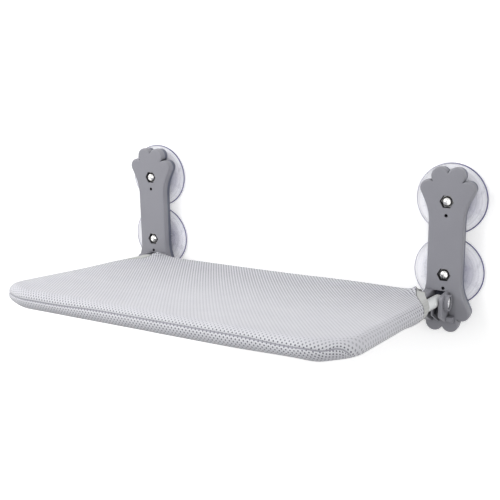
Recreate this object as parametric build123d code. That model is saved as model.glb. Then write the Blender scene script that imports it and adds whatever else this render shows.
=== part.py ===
from build123d import *
import math
import os

# A cat hammock for a window. Two paw-shaped brackets stand on suction cups, and a bed of steel tube
# in a mesh cover hinges on them, so that it folds up flat against the glass.
# Frame: the origin is on the glass, in the middle of the four suction cups.
# X runs along the window, -Y into the room and Z up. All sizes are in millimetres.
# The right-hand bracket is drawn with its front face at y = 0 and its lower nut at z = 0.

os.makedirs("parts", exist_ok=True)

# Places of the suction cups
bracket_spacing = 430.4
cup_diameter = 88.0
cup_pair_gap = 2.0
cup_spacing = cup_diameter + cup_pair_gap

# Brackets: two shells, back to back
front_shell_depth = 9.0
back_shell_depth = 8.5
shell_inset = 1.0
shell_wall = 2.5
front_edge_radius = 2.2
back_edge_chamfer = 1.0
reach_above_cup = 41.0
reach_below_cup = 72.0
waist_width = 43.0
inner_toe_radius = 10.7
inner_toe_offset = 9.8
outer_toe_radius = 10.0
outer_toe_offset = 23.5
outer_toe_drop = 15.0
neck_drop = 27.3
neck_radius = 60.0
toe_slit_width = 1.5
toe_slit_depth = 3.2
pocket_width = 36.0
pocket_corner = 4.0

# Screws that hold the two shells together, deep in small holes
screw_drop = 16.8
screw_hole_diameter = 4.2
screw_head_diameter = 3.8
screw_head_height = 1.5
screw_head_depth = 5.5
screw_diameter = 2.2
screw_tip = 14.5
screw_boss_diameter = 8.4

# Cup fastening: an M8 stud and a domed nut in a hexagonal recess
stud_diameter = 8.0
thread_clearance = 0.06
stud_clearance = 0.2
nut_flats = 13.0
nut_hex_height = 5.5
nut_height = 11.0
nut_dome_radius = 6.25
nut_bore_depth = 8.0
recess_flats = 15.0
stud_reach = 7.0
stud_head_start = 13.5
stud_head_end = 18.5

# Suction cups, pressed flat
cup_rise = 5.0
cup_lip_thickness = 1.2
cup_rim_width = 3.0
cup_neck_diameter = 24.0
cup_neck_seat = 12.0
cup_neck_clearance = 1.0
cup_shoulder_width = 2.0
cup_gap = 0.3
cup_wall = 2.2
cup_ring_height = 0.5
cup_ring_width = 1.4
cup_ring_shares = (0.42, 0.58, 0.74)

# Hinge: a clevis with a round boss and a foot on its outer side, and a stop web under the tube
pivot_forward = 13.5
pivot_drop = 30.0
clevis_offset = 4.3
slot_width = 14.8
slot_top = 9.8
slot_bottom = 27.0
cheek_thickness = 10.0
outer_plate = 4.6
boss_diameter = 19.8
cheek_front = 15.1
cheek_top = 10.5
cheek_bottom_front = 14.5
cheek_bottom_root = 30.0
cheek_corner_radius = 6.5
cheek_edge_chamfer = 0.8
foot_overhang = 2.6
foot_depth = 9.0
foot_top = 20.0
web_thickness = 2.0
web_setback = 0.6
stop_gap = 0.1
tail_clearance = 0.9
counterbore_diameter = 16.0
counterbore_depth = 4.2

# Hinge hardware: an M6 connector bolt, a lock nut and a nylon bush
bolt_diameter = 6.0
bolt_head_diameter = 13.5
bolt_head_height = 2.5
bolt_head_edge = 0.8
bolt_socket_flats = 4.0
bolt_socket_depth = 1.8
lock_nut_flats = 10.0
lock_nut_height = 5.0
nut_pocket_flats = 10.3
nut_pocket_depth = 5.5
bush_diameter = 8.0

# Tube frame
tube_diameter = 14.0
tube_wall = 1.2
arm_length = 292.0
corner_radius = 46.0
tail_length = 8.5
bed_tilt = 6.4
plug_stem_gap = 0.5
plug_clearance = 0.1

# Mesh cover
cover_gap = 0.3
cover_thickness = 3.2
cover_rear = 7.0
cover_sag = 3.5
sag_edge = 8.0
seam_flat = 0.1

# Rear corners of the cover, measured from the hinge axis
cheek_clearance = 0.9
notch_front = 18.0
mouth_inset = 1.9
mouth_front = 34.0
mouth_side_front = 63.0
binding_width = 7.0
corner_fold_height = 17.0
fold_shoulder = 14.0
fold_lean = 2.0
fold_foot = 9.5
fold_peak = 15.0

# One overrun serves every cut that runs past a face
overrun = 2.0
half_turn = 180
hex_sides = 6
lens_share = 1.5

# Worked out once and used by several pieces
bracket_depth = front_shell_depth + back_shell_depth
glass = bracket_depth + cup_rise
waist_half = waist_width / 2
half_height = (reach_above_cup + cup_spacing + reach_below_cup) / 2
mid_height = (cup_spacing + reach_above_cup - reach_below_cup) / 2
cup_heights = (0, cup_spacing)
screw_heights = (-screw_drop, cup_spacing - screw_drop)
tube_radius = tube_diameter / 2
slot_half = slot_width / 2
cheek_reach = slot_half + cheek_thickness
tail_radius = tail_length + tube_radius + tail_clearance
arm_offset = bracket_spacing / 2 - clevis_offset
channel_radius = tube_radius + cover_gap
cover_radius = channel_radius + cover_thickness
cut_side = arm_offset - cheek_reach - cheek_clearance
cut_mouth = arm_offset - mouth_inset
stud_radius = stud_diameter / 2
bolt_radius = bolt_diameter / 2
bush_radius = bush_diameter / 2
rod_clearance = thread_clearance


def slab(face, y_front, y_back):
    """Extrude a face drawn in X and Z from y_front to y_back."""
    return extrude(Plane.XZ.offset(-y_back) * face, amount=y_back - y_front)


def side_slab(face, x_left, x_right):
    """Extrude a face drawn in Y and Z from x_left to x_right."""
    return extrude(Plane.YZ.offset(x_left) * face, amount=x_right - x_left)


def rod_y(radius, y_front, y_back, x=0, z=0):
    """A round rod along Y."""
    return slab(Pos(x, z) * Circle(radius), y_front, y_back)


def rod_x(radius, x_left, x_right, y=0, z=0):
    """A round rod along X."""
    return side_slab(Pos(y, z) * Circle(radius), x_left, x_right)


def hexagon(flats, turn=0):
    """A hexagon with flats above and below, turned by the angle given."""
    return Rot(0, 0, turn) * RegularPolygon(flats / 2, hex_sides, major_radius=False)


def mirrored(part):
    """The left-hand copy of a right-hand part."""
    return mirror(part, about=Plane.YZ)


def write(node, *solids):
    """Write one node, with all its separate solids, as a STEP file."""
    shape = solids[0] if len(solids) == 1 else Compound(children=list(solids))
    export_step(shape, f"parts/{node}.step")


# Bracket outline: a bone shape with four toes at each end, the same above and below its middle
def toe_places(z_sign):
    """Centres and radii of the four toes at one end."""
    inner_z = half_height - inner_toe_radius
    outer_z = inner_z - outer_toe_drop
    places = []
    for x_sign in (-1, 1):
        places.append((x_sign * inner_toe_offset, mid_height + z_sign * inner_z, inner_toe_radius))
        places.append((x_sign * outer_toe_offset, mid_height + z_sign * outer_z, outer_toe_radius))
    return places


def outline(inset):
    """The bracket's outline, moved inwards by the inset."""
    inner_z = half_height - inner_toe_radius
    outer_z = inner_z - outer_toe_drop
    toe_radius = outer_toe_radius - inset
    waist = waist_half - inset
    neck_z = outer_z - neck_drop
    reach = math.hypot(outer_toe_offset - waist, neck_drop)
    lean = math.atan2(neck_drop, outer_toe_offset - waist) - math.asin(toe_radius / reach)
    length = math.sqrt(reach ** 2 - toe_radius ** 2)
    touch = (waist + length * math.cos(lean), neck_z + length * math.sin(lean))
    quarter = [
        (waist, neck_z),
        touch,
        (outer_toe_offset, outer_z),
        (inner_toe_offset, inner_z),
    ]
    upper = [(x, mid_height + z) for x, z in quarter]
    upper += [(-x, mid_height + z) for x, z in reversed(quarter)]
    lower = [(-x, mid_height - z) for x, z in quarter]
    lower += [(x, mid_height - z) for x, z in reversed(quarter)]
    palm = Polygon(*(upper + lower), align=None)
    necks = [v for v in palm.vertices() if abs(abs(v.Y - mid_height) - neck_z) < toe_slit_width]
    palm = fillet(necks, neck_radius)
    for z_sign in (-1, 1):
        for x, z, radius in toe_places(z_sign):
            palm += Pos(x, z) * Circle(radius - inset)
    return palm


def toe_slits():
    """Narrow wedges that deepen the notches between the toes, at both ends."""
    inner_z = half_height - inner_toe_radius
    outer_z = inner_z - outer_toe_drop
    rise = math.sqrt(inner_toe_radius ** 2 - inner_toe_offset ** 2)
    span = math.hypot(outer_toe_offset - inner_toe_offset, outer_toe_drop)
    along = (span ** 2 + inner_toe_radius ** 2 - outer_toe_radius ** 2) / (2 * span)
    across = math.sqrt(inner_toe_radius ** 2 - along ** 2)
    run_x = (outer_toe_offset - inner_toe_offset) / span
    run_z = -outer_toe_drop / span
    side_x = inner_toe_offset + run_x * along - run_z * across
    side_z = inner_z + run_z * along + run_x * across
    turn = math.degrees(math.atan2(run_z, run_x))
    wedge = Polygon(
        (-toe_slit_width / 2, toe_slit_width),
        (toe_slit_width / 2, toe_slit_width),
        (0, -toe_slit_depth),
        align=None,
    )
    slits = Pos(0, mid_height + inner_z + rise) * wedge
    slits += Pos(side_x, mid_height + side_z) * (Rot(0, 0, turn) * wedge)
    slits += Pos(-side_x, mid_height + side_z) * (Rot(0, 0, -turn) * wedge)
    slits += Pos(0, mid_height - inner_z - rise) * (Rot(0, 0, half_turn) * wedge)
    slits += Pos(side_x, mid_height - side_z) * (Rot(0, 0, half_turn - turn) * wedge)
    slits += Pos(-side_x, mid_height - side_z) * (Rot(0, 0, half_turn + turn) * wedge)
    return slits


# Bracket front shell with its hinge cheeks
def pocket(y_front, y_back):
    """The space inside the waist, between the two cups."""
    low = cup_neck_diameter / 2 + cup_neck_clearance + shell_wall
    high = cup_spacing - screw_drop - screw_boss_diameter / 2 - shell_wall
    face = Pos(0, (low + high) / 2) * RectangleRounded(pocket_width, high - low, pocket_corner)
    return slab(face, y_front, y_back)


def on_pivot(radius, x_left, x_right):
    """A rod on the hinge axis, with X measured from the middle of the slot."""
    return rod_x(radius, x_left - clevis_offset, x_right - clevis_offset, -pivot_forward, -pivot_drop)


def hex_on_pivot(flats, x_left, x_right):
    """A hexagon on the hinge axis, with X measured from the middle of the slot."""
    face = Pos(-pivot_forward, -pivot_drop) * hexagon(flats)
    return side_slab(face, x_left - clevis_offset, x_right - clevis_offset)


def cheek_profile():
    """Side view of a hinge cheek."""
    front = -pivot_forward - cheek_front
    root = front_shell_depth / 2
    face = Polygon(
        (root, -pivot_drop + cheek_top),
        (front, -pivot_drop + cheek_top),
        (front, -pivot_drop - cheek_bottom_front),
        (0, -pivot_drop - cheek_bottom_root),
        (root, -pivot_drop - cheek_bottom_root),
        align=None,
    )
    top_front = face.vertices().group_by(Axis.X)[0].sort_by(Axis.Y)[-1]
    return fillet(top_front, cheek_corner_radius)


def cheek(x_left, x_right):
    """One cheek, with X measured from the middle of the slot."""
    plate = side_slab(cheek_profile(), x_left - clevis_offset, x_right - clevis_offset)
    front = -pivot_forward - cheek_front
    rims = [e for e in plate.edges().filter_by(GeomType.LINE) if abs(e.center().Y - front) < seam_flat]
    rims = [e for e in rims if abs(e.tangent_at(0).Z) > seam_flat]
    return chamfer(rims, cheek_edge_chamfer)


def outer_cheek():
    """The outer cheek: a plate with a round boss for the bolt's head, and a foot under the boss."""
    plate = cheek(slot_half, slot_half + outer_plate)
    boss = on_pivot(boss_diameter / 2, slot_half, cheek_reach)
    foot = side_slab(cheek_profile(), slot_half - clevis_offset, cheek_reach + foot_overhang - clevis_offset)
    reach = half_height
    keep = Pos(0, -foot_depth, -pivot_drop - foot_top) * Box(
        reach, reach, reach, align=(Align.CENTER, Align.MIN, Align.MAX)
    )
    return plate + boss + (foot & keep)


def stop_web():
    """The thin web that carries the tube when the bed is open."""
    tilt = math.radians(bed_tilt)
    under = (tube_radius + stop_gap) / math.cos(tilt)
    front = -pivot_forward - cheek_front + web_setback
    drop = -pivot_drop - under
    bottom = -pivot_drop - cheek_bottom_root + web_setback
    face = Polygon(
        (front_shell_depth, drop - (pivot_forward + front_shell_depth) * math.tan(tilt)),
        (front, drop + (-pivot_forward - front) * math.tan(tilt)),
        (front, -pivot_drop - cheek_bottom_front + web_setback),
        (0, bottom),
        (front_shell_depth, bottom),
        align=None,
    )
    tail_room = Pos(-pivot_forward, -pivot_drop) * Circle(tail_radius)
    tail_front = -pivot_forward - tube_radius - tail_clearance
    tail_room &= Pos(tail_front + tail_radius, -pivot_drop) * Rectangle(2 * tail_radius, 2 * tail_radius)
    half = web_thickness / 2
    return side_slab(face - tail_room, -clevis_offset - half, -clevis_offset + half)


def front_shell():
    """The moulded front shell with its hinge cheeks."""
    shell = slab(outline(0), 0, front_shell_depth)
    shell = fillet(shell.edges().group_by(Axis.Y)[0], front_edge_radius)
    shell -= slab(toe_slits(), -overrun, front_shell_depth + overrun)
    shell -= pocket(shell_wall, front_shell_depth + overrun)
    shell += outer_cheek() + cheek(-cheek_reach, -slot_half)
    slot_low = -pivot_drop - slot_bottom
    slot_high = -pivot_drop + slot_top
    slot_face = Pos(-clevis_offset, (slot_low + slot_high) / 2) * Rectangle(
        slot_width, slot_high - slot_low
    )
    slot_start = -pivot_forward - cheek_front - overrun
    shell -= slab(slot_face, slot_start, front_shell_depth + overrun)
    shell += stop_web()
    for z in cup_heights:
        shell -= slab(Pos(0, z) * hexagon(recess_flats), -overrun, front_shell_depth + overrun)
    for z in screw_heights:
        seat = screw_head_depth + screw_head_height
        shell -= rod_y(screw_hole_diameter / 2, -overrun, seat, 0, z)
        shell -= rod_y(screw_diameter / 2 + rod_clearance, 0, front_shell_depth + overrun, 0, z)
    shell -= on_pivot(bolt_radius + rod_clearance, -cheek_reach - overrun, cheek_reach + overrun)
    shell -= on_pivot(counterbore_diameter / 2, cheek_reach - counterbore_depth, cheek_reach + overrun)
    shell -= hex_on_pivot(nut_pocket_flats, -cheek_reach - overrun, -cheek_reach + nut_pocket_depth)
    return shell


# Bracket back shell, with a round recess for the neck of each cup
def back_shell():
    """The moulded back shell."""
    shell = slab(outline(shell_inset), front_shell_depth, bracket_depth)
    shell = chamfer(shell.edges().group_by(Axis.Y)[-1], back_edge_chamfer)
    shell -= pocket(front_shell_depth - overrun, bracket_depth - shell_wall)
    for z in screw_heights:
        shell -= rod_y(screw_diameter / 2 + rod_clearance, 0, screw_tip + rod_clearance, 0, z)
    neck_bore = cup_neck_diameter / 2 + cup_neck_clearance
    for z in cup_heights:
        shell -= rod_y(neck_bore, cup_neck_seat, bracket_depth + overrun, 0, z)
        shell -= rod_y(stud_radius + stud_clearance, 0, bracket_depth, 0, z)
    return shell


# Suction cup, stud, nut and screws, drawn on the Y axis
def cup_stud():
    """The headed stud moulded into a cup."""
    stud = rod_y(stud_radius, front_shell_depth - stud_reach, stud_head_end)
    return stud + slab(hexagon(nut_flats), stud_head_start, stud_head_end)


def suction_cup():
    """A clear cup pressed on the glass: neck, dish, rim and rings on the glass side."""
    rim = cup_diameter / 2
    neck = cup_neck_diameter / 2
    front = bracket_depth + cup_gap
    lip_front = glass - cup_lip_thickness
    shoulder = neck + cup_shoulder_width
    flat = rim - cup_rim_width
    ceiling = front + cup_wall

    def under(r):
        return ceiling + (glass - ceiling) * max(0, r - neck) / (flat - neck)

    points = [(0, cup_neck_seat), (neck, cup_neck_seat), (neck, front), (shoulder, front)]
    points += [(rim, lip_front), (rim, glass), (flat, glass)]
    for share in reversed(cup_ring_shares):
        for shift, height in ((1, 0), (0, cup_ring_height), (-1, 0)):
            r = rim * share + shift * cup_ring_width / 2
            points.append((r, under(r) + height))
    points += [(neck, ceiling), (0, ceiling)]
    section = Polygon(*points, align=None)
    return revolve(section, Axis.Y) - cup_stud()


def acorn_nut():
    """A domed nut on the back shell, with its dome towards the room."""
    hex_front = front_shell_depth - nut_hex_height
    dome_front = front_shell_depth - nut_height
    centre = dome_front + nut_dome_radius
    nut = slab(hexagon(nut_flats), hex_front, front_shell_depth)
    dome = Pos(0, centre, 0) * Sphere(nut_dome_radius)
    nut += dome & rod_y(nut_flats, dome_front, hex_front + overrun)
    bore_end = front_shell_depth - nut_bore_depth
    return nut - rod_y(stud_radius + thread_clearance, bore_end, front_shell_depth)


def shell_screw():
    """A small screw through the front shell into the back one."""
    seat = screw_head_depth + screw_head_height
    screw = rod_y(screw_diameter / 2, seat, screw_tip)
    return screw + rod_y(screw_head_diameter / 2, screw_head_depth, seat)


# Hinge bolt and lock nut of the right-hand bracket
def hinge_bolt():
    """The bolt, with its flat round head in the counterbore on the outer side."""
    seat = cheek_reach - counterbore_depth
    head = on_pivot(bolt_head_diameter / 2, seat, seat + bolt_head_height)
    head = fillet(head.edges().group_by(Axis.X)[-1], bolt_head_edge)
    socket_start = seat + bolt_head_height - bolt_socket_depth
    head -= hex_on_pivot(bolt_socket_flats, socket_start, seat + bolt_head_height)
    return head + on_pivot(bolt_radius, -cheek_reach, seat)


def lock_nut():
    """The nut in its pocket on the inner side."""
    seat = -cheek_reach + nut_pocket_depth
    nut = hex_on_pivot(lock_nut_flats, seat - lock_nut_height, seat)
    return nut - on_pivot(bolt_radius + thread_clearance, seat - lock_nut_height, seat)


# Bed, drawn flat with the hinge axis on the X axis and the front at -Y
def bed_path():
    """Centre line of the tube."""
    points = [
        (arm_offset, tail_length),
        (arm_offset, -arm_length),
        (-arm_offset, -arm_length),
        (-arm_offset, tail_length),
    ]
    return FilletPolyline(*points, radius=corner_radius)


def tube_solid(radius):
    """A rod of the radius given along the tube's centre line."""
    path = bed_path()
    profile = Plane(origin=path @ 0, z_dir=path % 0) * Circle(radius)
    return sweep(profile, path=path)


def cross_rod(radius, half_length):
    """A rod through the right-hand end of the tube, on the hinge axis."""
    return rod_x(radius, arm_offset - half_length, arm_offset + half_length)


def frame_tube():
    """The bent steel tube, drilled at both ends."""
    tube = tube_solid(tube_radius) - tube_solid(tube_radius - tube_wall)
    drill = cross_rod(bush_radius, tube_diameter)
    return tube - drill - mirrored(drill)


def hinge_bush():
    """The nylon bush through the right-hand end of the tube."""
    return cross_rod(bush_radius, tube_radius) - cross_rod(bolt_radius + rod_clearance, tube_diameter)


def tube_plug():
    """The domed plug in the right-hand end of the tube."""
    stem_radius = tube_radius - tube_wall - plug_clearance
    plug = rod_y(stem_radius, bush_radius + plug_stem_gap, tail_length, arm_offset)
    dome = Pos(arm_offset, tail_length, 0) * Sphere(tube_radius)
    return plug + (dome & rod_y(tube_diameter, tail_length, tail_length + tube_diameter, arm_offset))


# Cover: two mesh panels and a plain binding at each rear corner
def cover_body(radius):
    """The space inside a cover whose edges are rounded to the radius round the tube."""
    half_width = arm_offset + radius
    front = -arm_length - radius
    rear = cover_rear - cover_radius + radius
    face = Pos(0, (front + rear) / 2) * Rectangle(2 * half_width, rear - front)
    face = fillet(face.vertices().group_by(Axis.Y)[0], corner_radius + radius)
    body = extrude(face, amount=radius, both=True)
    rims = [e for e in body.edges() if abs(abs(e.center().Z) - radius) < seam_flat]
    rims = [e for e in rims if e.center().Y < rear - seam_flat]
    return fillet(rims, radius - seam_flat / 2)


def corner_face(width):
    """Plan of what is cut from the right-hand rear corner, widened by the amount given."""
    side = arm_offset + cover_radius
    outer = side + cover_radius
    back = cover_rear + cover_radius
    lean = (mouth_side_front - mouth_front) / (side - cut_mouth)
    plan = Polygon(
        (cut_side, back),
        (cut_side, -notch_front),
        (cut_mouth, -mouth_front),
        (outer, -mouth_side_front - lean * (outer - side)),
        (outer, back),
        align=None,
    )
    return offset(plan, amount=width, kind=Kind.INTERSECTION) if width else plan


def corner_block(width):
    """The corner that is cut away, as a block through the whole cover."""
    return extrude(corner_face(width), amount=2 * corner_fold_height, both=True)


def corner_fold():
    """The fold of cloth that stands up beside the right-hand corner cut, low enough to clear the bracket."""
    rise = corner_fold_height - channel_radius
    slope = math.degrees(math.atan(binding_width / rise))
    base = Plane.XY.offset(channel_radius)
    ridge = extrude(base * corner_face(binding_width + fold_lean), amount=rise, taper=slope)
    start = cut_side - binding_width
    seen_from_front = Polygon(
        (start, 0),
        (cut_mouth, 0),
        (cut_mouth, cover_radius),
        (cut_side, fold_shoulder),
        (cut_side - fold_lean, corner_fold_height),
        (start, corner_fold_height),
        align=None,
    )
    seen_from_side = Polygon(
        (cover_rear, 0),
        (cover_rear, cover_radius),
        (-fold_foot, cover_radius),
        (-fold_peak, corner_fold_height),
        (-mouth_side_front, corner_fold_height),
        (-mouth_side_front, 0),
        align=None,
    )
    across = extrude(Plane.YZ.offset(start) * seen_from_side, amount=cut_mouth - start)
    return ridge & slab(seen_from_front, -mouth_side_front, cover_rear) & across


def sag(lower):
    """The lens-shaped hollow that the slack of the top panel makes, lowered by the amount given."""
    half_x = arm_offset - sag_edge
    half_y = (arm_length + cover_rear) / 2 - sag_edge
    middle_y = (cover_rear - arm_length) / 2
    across = half_x ** 2 / (2 * cover_sag)
    along = half_y ** 2 / (2 * cover_sag)
    bottom = cover_radius - cover_sag - lower
    top = cover_radius + cover_sag
    reach = math.sqrt(across ** 2 - (across - (top - bottom)) ** 2)
    lens = make_face(
        [
            ThreePointArc((-reach, top), (0, bottom), (reach, top)),
            Line((reach, top), (-reach, top)),
        ]
    )
    lens = Plane.XZ.offset(-middle_y) * lens
    axis = Axis((0, middle_y, bottom + along), (1, 0, 0))
    swing = math.degrees(math.asin(half_y / along)) * lens_share
    half = revolve(lens, axis, swing)
    return half + revolve(lens, axis, -swing)


outer_body = cover_body(cover_radius)
inner_body = cover_body(channel_radius)
binding_corner = corner_block(binding_width)
bindings_zone = binding_corner + mirrored(binding_corner)


def half_space(z_sign):
    """Everything above or below the seam."""
    reach = bracket_spacing + arm_length
    box = Box(reach, 2 * reach, cover_radius * 2, align=(Align.CENTER, Align.CENTER, Align.MIN))
    return box if z_sign > 0 else mirror(box, about=Plane.XY)


def cover_top():
    """The upper mesh panel, which sags a little between the tubes."""
    panel = outer_body - sag(0) - (inner_body - sag(cover_thickness))
    return (panel & half_space(1)) - bindings_zone


def cover_underside():
    """The lower mesh panel, which is drawn flat."""
    return ((outer_body - inner_body) & half_space(-1)) - bindings_zone


def corner_binding():
    """The plain binding round the right-hand sleeve mouth and the rear corner."""
    fold = corner_fold() & binding_corner
    band = (outer_body & binding_corner) + fold - corner_block(0)
    inside = (inner_body & binding_corner) + Pos(0, 0, -cover_thickness) * fold
    return band - (inside - corner_block(cover_thickness)) - tube_solid(channel_radius)


# The glass plane is y = 0 and the middle of the cups z = 0
def place_bracket(part):
    """Move a right-hand bracket part to its place."""
    return Pos(bracket_spacing / 2, -glass, -cup_spacing / 2) * part


def place_bed(part):
    """Tilt a bed part and hang it on the hinge."""
    hinge = Pos(0, -glass - pivot_forward, -cup_spacing / 2 - pivot_drop)
    return hinge * Rot(-bed_tilt, 0, 0) * part


def main_solid(part):
    """The largest solid of a shape, without crumbs left by a cut."""
    return sorted(part.solids(), key=lambda s: s.volume)[-1]


def four_of(part, heights):
    """Copies of a fastener at two heights on both brackets."""
    right = [place_bracket(Pos(0, 0, z) * part) for z in heights]
    return right + [mirrored(r) for r in right]


def pair(node, part):
    """Write the right-hand part and its left-hand copy."""
    write(f"{node}_right", part)
    write(f"{node}_left", mirrored(part))


# Brackets with their cups and fasteners
pair("bracket_front", place_bracket(front_shell()))
pair("bracket_back", place_bracket(back_shell()))
cup = suction_cup()
for z, level in zip(cup_heights, ("lower", "upper")):
    pair(f"suction_cup_{level}", place_bracket(Pos(0, 0, z) * cup))
write("cup_studs", *four_of(cup_stud(), cup_heights))
write("acorn_nuts", *four_of(acorn_nut(), cup_heights))
write("shell_screws", *four_of(shell_screw(), screw_heights))
pair("hinge_bolt", place_bracket(hinge_bolt()))
pair("lock_nut", place_bracket(lock_nut()))

# Bed
write("frame_tube", place_bed(frame_tube()))
pair("hinge_bush", place_bed(hinge_bush()))
pair("tube_plug", place_bed(tube_plug()))
write("cover_top", place_bed(main_solid(cover_top())))
write("cover_underside", place_bed(main_solid(cover_underside())))
pair("cover_binding", place_bed(main_solid(corner_binding())))
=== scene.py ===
# %% [markdown]
# # A cat hammock for a window
# Two grey plastic brackets stand on clear suction cups. A bed of white steel tube in a knitted air mesh
# cover hangs between them on two hinges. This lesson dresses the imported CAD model: the hard parts keep
# their CAD shapes, the cloth is made new, and every surface gets a material that has its real detail.

# %% Load the frame
import bmesh
import bpy
import math
from mathutils import Matrix, Vector


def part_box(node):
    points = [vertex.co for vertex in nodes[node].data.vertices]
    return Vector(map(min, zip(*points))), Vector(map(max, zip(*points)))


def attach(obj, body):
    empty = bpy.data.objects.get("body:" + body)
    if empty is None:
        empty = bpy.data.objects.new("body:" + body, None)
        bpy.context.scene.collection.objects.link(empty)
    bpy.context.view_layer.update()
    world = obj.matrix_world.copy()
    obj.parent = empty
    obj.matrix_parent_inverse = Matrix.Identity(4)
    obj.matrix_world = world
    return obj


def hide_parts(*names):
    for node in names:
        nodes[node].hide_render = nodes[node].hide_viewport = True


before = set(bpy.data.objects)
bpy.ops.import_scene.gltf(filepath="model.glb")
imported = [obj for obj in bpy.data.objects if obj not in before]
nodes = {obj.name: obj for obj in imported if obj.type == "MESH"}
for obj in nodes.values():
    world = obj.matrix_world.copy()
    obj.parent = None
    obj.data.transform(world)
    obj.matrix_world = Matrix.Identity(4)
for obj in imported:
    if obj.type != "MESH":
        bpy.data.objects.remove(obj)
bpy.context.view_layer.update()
bpy.ops.object.select_all(action="DESELECT")
MM = 0.001

# %% [markdown]
# ## Colours and nodes
# Paint charts and screens give colours as sRGB hex, and Blender's shaders want linear light. One function
# turns one into the other, and a second adds a node with its settings and links in one line. The wave
# texture runs through 20 radians per unit, so a third works out its scale from a spacing in millimetres.

# %% Colour and node helpers
def linear(hex_code):
    """An sRGB hex colour as linear red, green and blue, and an alpha of one."""
    values = [int(hex_code[i:i + 2], 16) / 255 for i in (1, 3, 5)]
    return [v / 12.92 if v <= 0.04045 else ((v + 0.055) / 1.055) ** 2.4 for v in values] + [1.0]


def add(tree, kind, inputs=None, **settings):
    """Add a node, set its properties, and set or link its inputs."""
    node = tree.nodes.new(kind)
    for name, value in settings.items():
        setattr(node, name, value)
    for name, value in (inputs or {}).items():
        if isinstance(value, bpy.types.NodeSocket):
            tree.links.new(value, node.inputs[name])
        else:
            node.inputs[name].default_value = value
    return node


def wave_scale(gap_mm):
    """The scale of a wave texture whose bands or rings stand this far apart."""
    return 2 * math.pi / (20 * gap_mm * MM)


def new_material(name):
    """A material with an empty node tree and its output."""
    material = bpy.data.materials.new(name)
    material.use_nodes = True
    tree = material.node_tree
    tree.nodes.clear()
    return material, tree, tree.nodes.new("ShaderNodeOutputMaterial")


def dress(material, piece):
    """Give the material to every slot of a piece."""
    if not piece.material_slots:
        piece.data.materials.append(material)
    for slot in piece.material_slots:
        slot.material = material


print("helpers ready")

# %% [markdown]
# ## Grey bracket plastic
# The brackets are moulded ABS in a mid grey. A mould with fine spark-eroded texture leaves a satin skin:
# highlights are broad and soft, and up close there is a faint grain of about a third of a millimetre.
# A slow change of shade of a few percent, over some 45 mm, keeps a large face from looking like a
# drawing. Narrow places get little light, and that shade is painted into their colour, so they read
# darker: most of all those that are shut in within 5 mm, and less so those that are shut in within 16 mm.

# %% Moulded ABS
# Painted shade in narrow places: reach in mm, the shares of open air that count as shut and as open,
# and what is left of the colour
PAINTED_NOOK_SHADE = ((5, 0.25, 0.62, 0.12), (16, 0.15, 0.7, 0.55))


def moulded_plastic(name, colour, shade, nook_shade, grain_mm, roughness, bump_mm):
    """Satin plastic whose grain comes from the mould."""
    material, tree, output = new_material(name)
    place = add(tree, "ShaderNodeTexCoord")
    grain = add(tree, "ShaderNodeTexNoise", {
        "Vector": place.outputs["Object"], "Scale": 1 / (grain_mm * MM), "Detail": 3.0, "Roughness": 0.6})
    cloud = add(tree, "ShaderNodeTexNoise", {
        "Vector": place.outputs["Object"], "Scale": 1 / (45 * MM), "Detail": 2.0})
    tone = add(tree, "ShaderNodeMix", {
        "Factor": cloud.outputs["Fac"], "A": linear(shade), "B": linear(colour)}, data_type="RGBA")
    # Painted shade: where little open air reaches, the shade colour is mixed into the colour
    for reach_mm, shut, open_to, least in PAINTED_NOOK_SHADE:
        open_air = add(tree, "ShaderNodeAmbientOcclusion", {"Distance": reach_mm * MM}, samples=8)
        nook_shade_mask = add(tree, "ShaderNodeMapRange", {
            "Value": open_air.outputs["AO"], "From Min": shut, "From Max": open_to, "To Min": least})
        tone = add(tree, "ShaderNodeMix", {
            "Factor": nook_shade_mask.outputs["Result"], "A": linear(nook_shade), "B": tone.outputs[2]}, data_type="RGBA")
    gloss = add(tree, "ShaderNodeMapRange", {
        "Value": grain.outputs["Fac"], "To Min": roughness - 0.05, "To Max": roughness + 0.07})
    bump = add(tree, "ShaderNodeBump", {
        "Height": grain.outputs["Fac"], "Strength": 0.35, "Distance": bump_mm * MM})
    shader = add(tree, "ShaderNodeBsdfPrincipled", {
        "Base Color": tone.outputs[2], "Roughness": gloss.outputs["Result"],
        "Normal": bump.outputs["Normal"], "IOR": 1.53, "Specular IOR Level": 0.5})
    tree.links.new(shader.outputs["BSDF"], output.inputs["Surface"])
    return material


bracket_abs = moulded_plastic(
    "moulded_grey_abs", colour="#8F8F96", shade="#898990", nook_shade="#141416",
    grain_mm=0.35, roughness=0.46, bump_mm=0.06)
# The back shells are painted a darker bluish grey: painted shade and painted reflection of the glass on the
# brackets' sides
back_shell_abs_and_shade = moulded_plastic(
    "moulded_grey_abs_painted_shade", colour="#646877", shade="#606473", nook_shade="#1E2030",
    grain_mm=0.35, roughness=0.42, bump_mm=0.06)
plug_plastic = moulded_plastic(
    "moulded_white_polyethylene", colour="#E9EAE6", shade="#E2E3E0", nook_shade="#6A6A6C",
    grain_mm=0.4, roughness=0.4, bump_mm=0.05)
nylon = moulded_plastic(
    "moulded_natural_nylon", colour="#E4E0D4", shade="#DDD9CC", nook_shade="#5E5C58",
    grain_mm=0.3, roughness=0.35, bump_mm=0.04)
print("plastics:", bracket_abs.name, back_shell_abs_and_shade.name, plug_plastic.name, nylon.name)

# %% [markdown]
# ## Softened bracket edges
# A moulding never has a knife edge, and the light that runs along its small radii is what says plastic.
# The CAD shells have their large radii. Here each shell is copied, its loose triangles are merged, and a
# bevel modifier rounds the edges that are still sharp by 0.4 mm: the hexagons, the holes and the hinge
# cheeks. Weighted normals then keep the flat faces flat in the light.

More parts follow.
